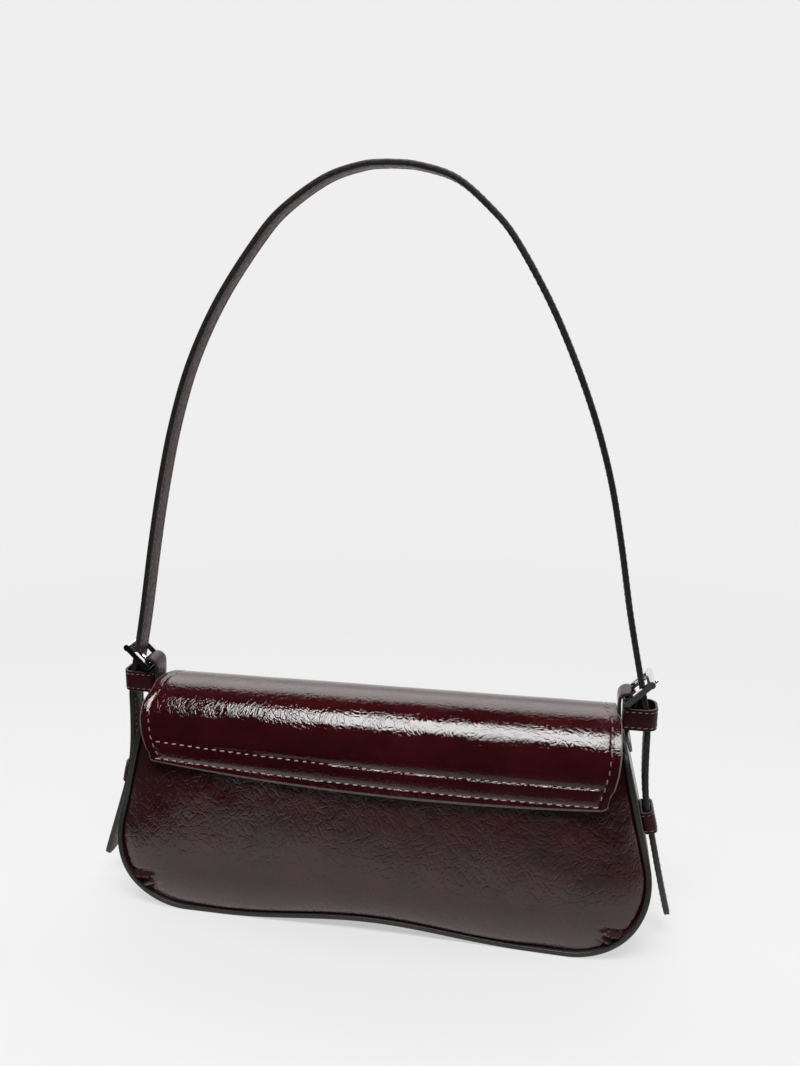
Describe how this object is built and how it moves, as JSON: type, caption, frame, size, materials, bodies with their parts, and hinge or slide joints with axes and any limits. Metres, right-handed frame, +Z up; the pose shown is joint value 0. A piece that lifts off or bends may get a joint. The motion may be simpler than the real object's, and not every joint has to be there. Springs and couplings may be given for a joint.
{
  "type": "baguette shoulder bag",
  "caption": "Small baguette shoulder bag with an arched bottom, a roll-over flap with a hidden magnetic closure, and a narrow strap held to end tabs by chrome prong buckles.",
  "frame": {"origin": "centre of the bag's bounding box on the floor that it stands on", "axes": "+X along the bag to the right end seen from the front, -Y out of the front, +Z up to the strap's highest point"},
  "size_m": [0.3114, 0.0638, 0.383],
  "materials": {
    "patent_leather": "crinkled high-gloss patent, very dark wine red",
    "strap_leather": "smooth gloss leather with painted edges",
    "gusset_leather": "crinkled patent, very dark wine red",
    "lining": "plain dark woven lining",
    "board": "raw fibre board",
    "buckle_metal": "polished chrome plate",
    "magnet_metal": "plated steel"
  },
  "bodies": {
    "bag": {"front_panel": "patent_leather", "back_panel": "patent_leather", "gusset": "gusset_leather", "lining_front": "lining", "lining_back": "lining", "lining_gusset": "lining", "facing_front": "gusset_leather", "facing_back": "gusset_leather", "base_board": "board", "slip_pocket": "lining", "panel_magnet": "magnet_metal", "back_yoke": "patent_leather", "keeper_lower_left": "strap_leather", "keeper_lower_right": "strap_leather", "strap_tail_left": "strap_leather", "strap_tail_right": "strap_leather"},
    "flap": {"flap_outer": "patent_leather", "flap_lining": "gusset_leather", "flap_magnet": "magnet_metal"},
    "strap": {"strap_arch": "strap_leather", "tab_left": "strap_leather", "tab_right": "strap_leather", "keeper_upper_left": "strap_leather", "keeper_upper_right": "strap_leather"},
    "left_buckle": {"buckle_left": "buckle_metal"},
    "right_buckle": {"buckle_right": "buckle_metal"},
    "left_prong": {"prong_left": "buckle_metal"},
    "right_prong": {"prong_right": "buckle_metal"}
  },
  "joints": [
    {"name": "flap_hinge", "type": "hinge", "parent": "bag", "child": "flap", "pos_m": [0, 0.02873, 0.094], "axis": [-1, 0, 0], "range_deg": [0, 130]},
    {"name": "strap_swing", "type": "hinge", "parent": "bag", "child": "strap", "pos_m": [0, 0, 0.113], "axis": [1, 0, 0], "range_deg": [-45, 45]},
    {"name": "left_buckle_turn", "type": "hinge", "parent": "strap", "child": "left_buckle", "pos_m": [-0.125, 0, 0.13], "axis": [0, -1, 0], "range_deg": [-2, 5]},
    {"name": "right_buckle_turn", "type": "hinge", "parent": "strap", "child": "right_buckle", "pos_m": [0.125, 0, 0.13], "axis": [0, 1, 0], "range_deg": [-2, 5]},
    {"name": "left_prong_turn", "type": "hinge", "parent": "left_buckle", "child": "left_prong", "pos_m": [-0.125, 0, 0.13], "axis": [0, -1, 0], "range_deg": [0, 6]},
    {"name": "right_prong_turn", "type": "hinge", "parent": "right_buckle", "child": "right_prong", "pos_m": [0.125, 0, 0.13], "axis": [0, 1, 0], "range_deg": [0, 6]}
  ]
}
